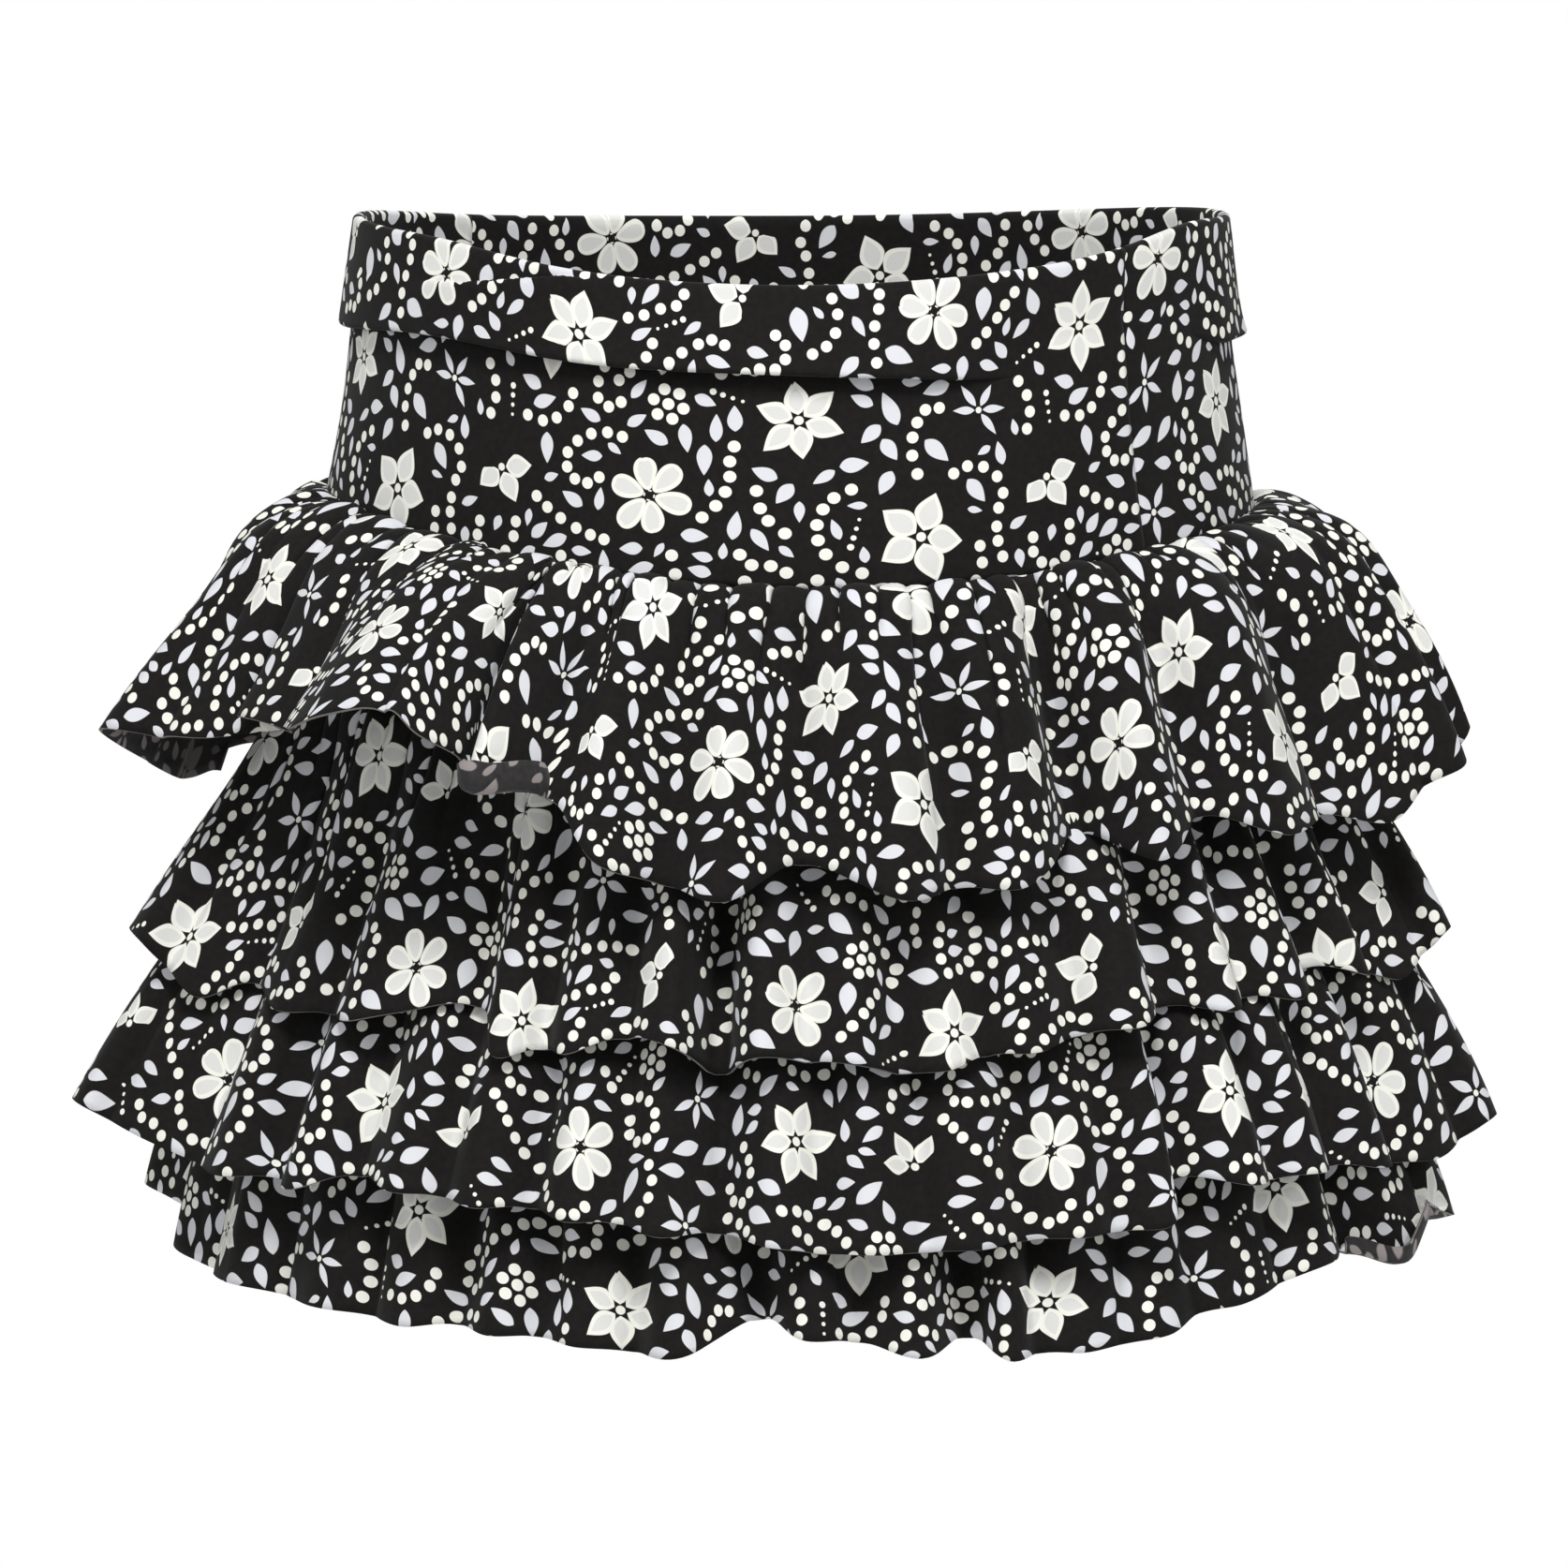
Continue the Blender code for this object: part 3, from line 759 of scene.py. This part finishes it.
def base_places(turns):
    """The base at each turn, from ring to ring, easing in and out a little."""
    turn = turns[:, None]
    down = np.linspace(0, 1, BASE_ROWS + 1)[None, :]
    rows = []
    for upper, lower in zip(TIER_SEAMS, TIER_SEAMS[1:]):
        tucked = -BASE_TUCK if upper is YOKE_SEAM else 0.0
        out = tucked * (1 - down) + 0.5 * np.sin(math.pi * down) * np.sin(np.radians(turn * 7))
        stretch = ring_place(ring_between(upper, lower, down), turn, out, 0.3 * (1 - down))
        rows.append(stretch[:, :-1])
    rows.append(stretch[:, -1:])
    return np.concatenate(rows, axis=1)


gap = math.degrees(PANEL_GAP / YOKE_SEAM.half_depth)
for name, start, end in (("base_front", -90, 90), ("base_back", 90, 270)):
    places = base_places(np.linspace(start + gap, end - gap, BASE_COLUMNS))
    piece = cloth_piece(
        f"{name}_cloth", places, None, None, CLOTH,
        (plain_jersey, plain_jersey, plain_jersey), name,
    )

# Ruffles
# Four tiers, each a long straight strip of the printed jersey gathered along its top. The first is
# sewn into the yoke seam and puffs up over it, and the others are sewn onto the base. Their hems are
# cut raw and wave freely.
Fold = namedtuple("Fold", "turn out hang dent sag lean")

# Each row is one fold: where its crest stands, how far out its hem is and how far it hangs, and how
# much further in, lower and further round than halfway the valley after it lies
TIER_FOLDS = (
    (
        Fold(-72, 90, 74, 0, 0, 0),
        Fold(-61.5, 66, 71, 17, 1, 0.5),
        Fold(-58.7, 62, 62, 5, 2, 1),
        Fold(-41, 96, 51, -6, -12, 3.2),
        Fold(-30, 92, 48, 15, 2, 0.4),
        Fold(-26.5, 84, 66, 10, -10, 0),
        Fold(-17, 68, 89, 6, 1, 0),
        Fold(-6, 58, 101, 14, -12, -1),
        Fold(10, 58, 100, 7, -1, 0),
        Fold(22, 56, 98, 24, -11, 1.5),
        Fold(35, 60, 94, 12, -10, 0),
        Fold(49, 66, 92, 10, -3, 2),
        Fold(66, 66, 98, 0, -3, 0),
        Fold(73, 82, 82, 0, 0, 0),
        Fold(78, 80, 70, 8, 3, 0),
        Fold(90, 60, 90, 5, 0, 0),
        Fold(106, 70, 92, 12, -4, 0),
        Fold(122, 66, 96, 14, -8, 0),
        Fold(138, 60, 99, 10, -3, 0),
        Fold(152, 62, 98, 14, -9, 1),
        Fold(166, 56, 101, 9, -2, 0),
        Fold(180, 60, 100, 14, -9, -1),
        Fold(194, 56, 102, 8, -1, 0),
        Fold(208, 62, 97, 14, -9, 1),
        Fold(222, 66, 95, 10, -4, 0),
        Fold(236, 68, 94, 12, -6, 0),
        Fold(252, 64, 103, 6, -3, 0),
        Fold(268, 52, 102, 2, 2, 0),
    ),
    (
        Fold(-74, 64, 88, 0, 0, 0),
        Fold(-66, 50, 107, 6, -7, -1.5),
        Fold(-53, 47, 103, 4, -1, 0),
        Fold(-42, 50, 99, 9, -13, 3.5),
        Fold(-27, 50, 103, 5, -2, 0),
        Fold(-20, 50, 99, 5, -4, 0),
        Fold(-10.5, 54, 93, 16, 9, 0),
        Fold(-3, 52, 96, 4, 0, 0),
        Fold(6, 50, 99, 4, 2, 0),
        Fold(14, 48, 102, 4, -2, 0),
        Fold(22, 50, 98, 4, -2, 0),
        Fold(32, 52, 93, 9, -4, 0),
        Fold(42, 52, 93, 6, -3, 0),
        Fold(51, 52, 94, 7, -7, 0),
        Fold(61, 53, 92, 6, -2, 0),
        Fold(70, 51, 99, 0, 0, 0),
        Fold(76, 61, 84, 14, 4, 0),
        Fold(104, 52, 98, 8, -3, 0),
        Fold(119, 49, 101, 8, -4, 0),
        Fold(133, 48, 102, 8, -5, 0),
        Fold(147, 50, 101, 6, -2, 0),
        Fold(161, 48, 103, 8, -5, 0),
        Fold(175, 49, 103, 5, 0, 0),
        Fold(189, 48, 104, 8, -6, 0),
        Fold(204, 50, 101, 6, -2, 0),
        Fold(218, 48, 102, 8, -5, 0),
        Fold(233, 50, 99, 7, -3, 0),
        Fold(252, 52, 97, 9, 4, 0),
    ),
    (
        Fold(-75, 73, 88, 0, 0, 0),
        Fold(-68, 58, 97, 4, 2, 0),
        Fold(-55, 55, 101, 5, -2, 0),
        Fold(-46, 54, 99, 6, -5, 0),
        Fold(-35, 54, 92, 4, -1, 0),
        Fold(-27, 54, 93, 6, -2, 0),
        Fold(-19, 53, 94, 4, -2, 0),
        Fold(-11, 52, 97, 12, -2, 0),
        Fold(-2, 52, 99, 4, 1, 0),
        Fold(7, 50, 102, 3, 0, 0),
        Fold(16, 50, 102, 4, -1, 0),
        Fold(25, 51, 101, 3, 0, 0),
        Fold(33, 54, 100, 13, -9, -1.5),
        Fold(41, 56, 91, 4, 0, 0),
        Fold(49, 57, 92, 5, -2, 0),
        Fold(58, 56, 97, 5, 0, 0),
        Fold(68, 56, 101, 0, 0, 0),
        Fold(76, 66, 91, 12, 2, 0),
        Fold(105, 57, 98, 8, -3, 0),
        Fold(119, 55, 99, 8, -4, 0),
        Fold(134, 52, 101, 7, -3, 0),
        Fold(148, 53, 100, 8, -5, 0),
        Fold(163, 51, 102, 5, 0, 0),
        Fold(178, 50, 103, 8, -5, 0),
        Fold(193, 51, 102, 5, -2, 0),
        Fold(207, 53, 101, 8, -5, 0),
        Fold(222, 52, 101, 6, -2, 0),
        Fold(237, 55, 99, 7, -3, 0),
        Fold(253, 59, 97, 13, 2, 0),
    ),
    (
        Fold(-98, 38, 83, 12, 0, 0),
        Fold(-77, 28, 95, 3, 2, 0),
        Fold(-60, 34, 95.5, 3, 0, 0),
        Fold(-46, 36, 94, 4, 0, 0),
        Fold(-36, 36, 94, 4, -2, 0),
        Fold(-27, 37, 92, 4, -1, 0),
        Fold(-19, 38, 92, 4, 0, 0),
        Fold(-9.5, 40, 93, 16, -9, 1.2),
        Fold(1, 38, 86, 5, -2, 0),
        Fold(11, 40, 93, 10, -6, 1.2),
        Fold(18.7, 40, 96, 3, -1, 0),
        Fold(26, 39, 96, 1, 0, 0),
        Fold(34, 40, 94, 2, -2, 0),
        Fold(42, 41, 88, 2, 0, 0),
        Fold(53, 42, 81, 5, -4, 0),
        Fold(64, 43, 88.5, 0, -9, 0),
        Fold(74, 48, 79, 12, 4, 0),
        Fold(104, 39, 94, 6, -2, 0),
        Fold(119, 37, 96, 6, -3, 0),
        Fold(134, 38, 96, 7, -4, 0),
        Fold(148, 37, 98, 5, -2, 0),
        Fold(162, 39, 98, 8, -5, 0),
        Fold(176, 37, 99, 5, 0, 0),
        Fold(190, 39, 98, 8, -5, 0),
        Fold(204, 37, 98, 5, -2, 0),
        Fold(218, 38, 97, 7, -4, 0),
        Fold(232, 37, 96, 5, -2, 0),
        Fold(247, 35, 94, 4, -4, 0),
    ),
)

# A tier's puff, as shares of how far its folds stand out and hang, its bulge under the seam and the
# depth of its gathers in mm, and where its print starts at the front and at the back
TierStyle = namedtuple(
    "TierStyle",
    "puff_out puff_lean puff_hang level shoulder side_shoulder gather_depth front_print back_print",
)
TIER_STYLES = (
    TierStyle(0.52, 0.14, 0.14, 90.0, 3.0, 7.5, 7.0, (64.0, 20.0), (0.0, 33.0)),
    TierStyle(0.38, 0.12, 0.30, 0.0, 1.0, 0.0, 4.0, (8.0, 131.0), (19.0, 33.0)),
    TierStyle(0.54, 0.06, 0.28, 0.0, 1.0, 0.0, 4.0, (143.0, 75.0), (38.0, 33.0)),
    TierStyle(0.56, 0.00, 0.24, 0.0, 1.0, 0.0, 4.0, (85.0, 170.0), (57.0, 33.0)),
)
DENT_GAIN = 1.6
DENT_LIMIT = 14.0
HemRoll = namedtuple("HemRoll", "tier turn half_width length ease")
HEM_ROLLS = (
    HemRoll(0, -24.8, 4.0, 14.0, 0.6),
    HemRoll(3, 64.0, 7.5, 9.0, 0.35),
)
ROLL_RADIUS = 1.3
ROLL_TURN = math.radians(165)
VALLEY_SHARE = 0.65
CREASE_DEPTH = 4.5
CREASE_WIDTH = 5.0
YOKE_SEAM_DROP = 1.02
YOKE_SEAM_STAND_OFF = 0.3
BASE_STAND_OFF = 1.8
RUFFLE_CELL = 2.0
RUFFLE_ROWS = 50
PLEAT_LIFT = 0.45
PLEAT_LENGTH = 26.0
GATHER_PITCH = 8.0
GATHER_SPACING = (0.5, 1.5)
GATHER_LENGTHS = (12, 16, 22, 30, 30, 45, 70)
GATHER_DEPTHS = (0.5, 1.2)
GATHER_SLANT = (-0.14, 0.14)
GATHER_WIDTH = (0.14, 0.24)
GATHER_REACH = 0.28
GATHER_PULL = 1.15
LEAST_STEP = 0.1
SEAM_EASE = 12.0
GATHER_SEED = 5
SHOULDER_BELOW = (11, 8)
SIDE_SHOULDER_BELOW = (30, 24)
BUCKLES = 14
BUCKLE_WAVES = (24, 70)
BUCKLE_HEADING = (-0.5, 0.5)
BUCKLE_HEIGHT = 0.0045
BUCKLE_SEED = 90
SEAM_STEPS = 8000
HEM_STEPS = 4000


def hem_stations(folds):
    """Crests and valleys in turn round the hem: turn, out and hang."""
    stations = []
    first_again = folds[0]._replace(turn=folds[0].turn + 360)
    for fold, following in zip(folds, folds[1:] + (first_again,)):
        stations.append((fold.turn, fold.out, fold.hang))
        middle = 0.5 * (fold.turn + following.turn) + fold.lean
        dent = max(fold.dent, min(DENT_GAIN * fold.dent, DENT_LIMIT))
        out = 0.5 * (fold.out + following.out) - dent
        stations.append((middle, out, 0.5 * (fold.hang + following.hang) + fold.sag))
    return np.array(stations, dtype=float)


def station_at(stations, index):
    """Stations by number, going on round the skirt past the last one."""
    laps, i = np.divmod(index, len(stations))
    rows = stations[i].copy()
    rows[..., 0] += 360 * laps
    return rows


def smooth_hem(stations, place):
    """Turn, out and hang at places between the stations, on a smooth closed curve."""
    index = np.floor(place).astype(int)
    share = (place - index)[..., None]
    before, near, far, after = (station_at(stations, index + step) for step in (-1, 0, 1, 2))
    square = 2 * before - 5 * near + 4 * far - after
    cube = 3 * near - before - 3 * far + after
    curve = 2 * near + (far - before) * share + square * share**2 + cube * share**3
    return np.moveaxis(0.5 * curve, -1, 0)


def crest_to_crest(stations, place):
    """Turn and out on the straight line from one crest to the next, as if there were no valley."""
    crest = 2 * np.floor(place / 2).astype(int)
    share = ((place - crest) / 2)[..., None]
    line = station_at(stations, crest) * (1 - share) + station_at(stations, crest + 2) * share
    return line[..., 0], line[..., 1]


def ruffle_places(tier, stations, place, down):
    """Places of a tier's cloth, on curves from its seam out over the puff and down to its hem. place
    runs round the tier and down runs along the curves, both arrays."""
    ring, style = TIER_SEAMS[tier], TIER_STYLES[tier]
    turn, out, hang = smooth_hem(stations, place)
    root_turn, crest_out = crest_to_crest(stations, place)
    root_drop = YOKE_SEAM_DROP if tier == 0 else 0.0
    stand_off = YOKE_SEAM_STAND_OFF if tier == 0 else BASE_STAND_OFF
    valley = VALLEY_SHARE * (out - crest_out)
    root = ring_place(ring, root_turn, stand_off, root_drop)
    swell_drop = style.puff_hang * (hang - style.level) + root_drop
    puff_out = style.puff_out + style.puff_lean * np.sin(np.radians(turn))
    swell = ring_place(ring, 0.5 * (turn + root_turn), puff_out * out + valley, swell_drop)
    hem = ring_place(ring, turn, out, hang + root_drop)
    share = down[None, :, None]
    root, swell, hem = root[:, None], swell[:, None], hem[:, None]
    upper = root * (1 - share) + swell * share
    lower = swell * (1 - share) + hem * share
    return upper * (1 - share) + lower * share


def outward(places):
    """Unit normals of a grid of places, pointing away from the body."""
    across = np.gradient(places, axis=0)
    down = np.gradient(places, axis=1)
    normal = np.cross(down, across)
    return normal / np.maximum(np.linalg.norm(normal, axis=-1, keepdims=True), 1e-12)


def trough(off, width):
    """A crease with a sharp bottom, 1 at its middle."""
    return np.exp(-np.abs(off) / width)


def gathers(tier, seam_length, flat):
    """The gathers under the seam: round pleats with creases between them, each of its own depth, length
    and slant. Gives their height, and how far the cloth is drawn along into its creases, in mm."""
    style = TIER_STYLES[tier]
    rng = random.Random(GATHER_SEED + tier)
    along, below = flat[..., 0], flat[..., 1]
    strip = along[-1, 0]
    pitch = GATHER_PITCH * strip / seam_length
    height = PLEAT_LIFT * style.gather_depth * bump(below, 0, PLEAT_LENGTH)
    draw = np.zeros_like(height)
    reach = GATHER_REACH * pitch
    centre = -pitch
    while centre < strip + pitch:
        centre += pitch * rng.uniform(*GATHER_SPACING)
        length = rng.choice(GATHER_LENGTHS)
        share = rng.uniform(*GATHER_DEPTHS)
        slant = rng.uniform(*GATHER_SLANT)
        width = pitch * rng.uniform(*GATHER_WIDTH) * (1 + below / length * 0.6)
        fading = share * bump(below, 0, length)
        off = along - centre - slant * below
        height -= style.gather_depth * fading * trough(off, width)
        draw -= GATHER_PULL * fading * off * np.exp(-0.5 * (off / reach) ** 2)
    inside = rise(np.minimum(along, strip - along), 0, SEAM_EASE)
    return height * rise(below, 0, 4) * inside, draw * inside


def drawn_in(places, flat, draw):
    """Each row of the cloth drawn together by mm along it, never so far that it passes itself."""
    at = flat[..., 0] + draw
    steps = np.maximum(np.diff(at, axis=0), LEAST_STEP * flat[1, 0, 0])
    at = np.concatenate((np.zeros_like(at[:1]), np.cumsum(steps, axis=0)))
    at *= flat[-1, :, 0] / at[-1]
    drawn = np.empty_like(places)
    for row in range(places.shape[1]):
        for axis in range(3):
            drawn[:, row, axis] = np.interp(at[:, row], flat[:, row, 0], places[:, row, axis])
    return drawn


def shoulder(tier, hem_turn, flat):
    """How far the ruffle puffs out just under its seam, in mm."""
    style = TIER_STYLES[tier]
    below = flat[..., 1]
    at_side = np.sin(np.radians(hem_turn))[:, None] ** 2
    over_seam = style.shoulder * (1 - 0.8 * at_side) * bump(below, *SHOULDER_BELOW)
    return over_seam + style.side_shoulder * at_side * bump(below, *SIDE_SHOULDER_BELOW)


def creases(place, flat):
    """Depth of the creases at the bottoms of the large folds, in mm, softer towards the seam. Those
    just past the strip's ends count too, so that the panels meet."""
    along, share = flat[..., 0], flat[..., 1] / flat[:, -1:, 1]
    depth = np.zeros_like(along)
    valleys = np.arange(math.floor(place[0] / 2) * 2 - 1, place[-1] + 2, 2)
    middles = np.interp(valleys, place, along[:, 0])
    cell = along[1, 0]
    middles += np.minimum(valleys - place[0], 0) / (place[1] - place[0]) * cell
    middles += np.maximum(valleys - place[-1], 0) / (place[-1] - place[-2]) * cell
    for middle in middles:
        depth += trough(along - middle, CREASE_WIDTH)
    return CREASE_DEPTH * depth * rise(share, 0.05, 0.6)


def buckles(tier, flat):
    """Small uneven hills of loose cloth, in mm."""
    rng = random.Random(BUCKLE_SEED + tier)
    along, below = flat[..., 0], flat[..., 1]
    height = np.zeros_like(along)
    for _ in range(BUCKLES):
        wave = rng.uniform(*BUCKLE_WAVES)
        heading = rng.uniform(*BUCKLE_HEADING)
        phase = (along * math.cos(heading) + below * math.sin(heading)) * 2 * math.pi / wave
        height += np.sin(phase + rng.uniform(0, 6.3)) * wave * BUCKLE_HEIGHT
    from_end = np.minimum(along, along[-1, 0] - along)
    return height * rise(below, 5, 45) * rise(from_end, 0, SEAM_EASE)


def roll_hem(places, flat, hem_turn, roll):
    """Turn the hem outwards and up round a small roll over a stretch of the tier, so that its reverse
    shows. The cloth hangs that much lower there, so the roll lies on the hem line."""
    window = np.clip(1 - np.abs(hem_turn - roll.turn) / roll.half_width, 0, 1)
    lengths = roll.length * rise(window, 0, roll.ease)
    normals = outward(places)
    for i in np.flatnonzero(lengths > 2 * ROLL_RADIUS):
        below = flat[i, :, 1]
        start = below[-1] - lengths[i]
        past = np.maximum(below - start, 0)
        lowered = np.minimum(below, start) * below[-1] / start
        hung = np.stack([np.interp(lowered, below, axis) for axis in places[i].T], axis=-1)
        ahead = places[i, -1] - places[i, -4]
        ahead /= np.linalg.norm(ahead)
        bent = np.minimum(past / ROLL_RADIUS, ROLL_TURN)
        beyond = past - ROLL_RADIUS * bent
        forth = ROLL_RADIUS * np.sin(bent) + beyond * math.cos(ROLL_TURN)
        out = ROLL_RADIUS * (1 - np.cos(bent)) + beyond * math.sin(ROLL_TURN)
        places[i] = hung + (forth[:, None] * ahead + out[:, None] * normals[i, -1]) * MM
    return places


def place_at_seam(stations, turn):
    """The place round the tier where its seam lies at a turn."""
    fine = np.linspace(-2, len(stations) + 2, SEAM_STEPS)
    return float(np.interp(turn, crest_to_crest(stations, fine)[0], fine))


def even_cells(tier, stations, first, last):
    """Places round the hem that cut the tier into cells of equal width, and their distance along it."""
    fine = np.linspace(first, last, HEM_STEPS)
    run = lengths_along(ruffle_places(tier, stations, fine, np.ones(1)), 0)[:, 0]
    width = np.linspace(0, run[-1], round(run[-1] / RUFFLE_CELL))
    return np.interp(width, run, fine), width


def ruffle_cloth(tier, stations, place, width):
    """Places of a tier's cloth with its gathers, creases and buckles, and its flat shape in mm."""
    down = np.linspace(0, 1, RUFFLE_ROWS)
    places = ruffle_places(tier, stations, place, down)
    flat = np.stack(np.broadcast_arrays(width[:, None], lengths_along(places, 1)), axis=-1)
    seam_length = lengths_along(places[:, :1], 0)[-1, 0]
    hem_turn = smooth_hem(stations, place)[0]
    height, draw = gathers(tier, seam_length, flat)
    places = drawn_in(places, flat, draw)
    lift = height + shoulder(tier, hem_turn, flat) + buckles(tier, flat) - creases(place, flat)
    past_ends = np.array((2 * place[0] - place[1], 2 * place[-1] - place[-2]))
    before, after = ruffle_places(tier, stations, past_ends, down)[:, None]
    normals = outward(np.concatenate((before, places, after)))[1:-1]
    return places + normals * lift[..., None] * MM, flat


for tier, folds in enumerate(TIER_FOLDS):
    stations = hem_stations(folds)
    style = TIER_STYLES[tier]
    gap = math.degrees(PANEL_GAP / TIER_SEAMS[tier].half_depth)
    panels = (("front", -90, 90, style.front_print), ("back", 90, 270, style.back_print))
    for side, start, end, print_start in panels:
        name = f"ruffle_{tier + 1}_{side}"
        first = place_at_seam(stations, start + gap)
        last = place_at_seam(stations, end - gap)
        place, width = even_cells(tier, stations, first, last)
        places, flat = ruffle_cloth(tier, stations, place, width)
        for roll in HEM_ROLLS:
            if roll.tier == tier and side == "front":
                places = roll_hem(places, flat, smooth_hem(stations, place)[0], roll)
        piece = cloth_piece(
            f"{name}_cloth", places, flat, print_start, CLOTH,
            (printed_face, printed_reverse, raw_edge), name,
        )
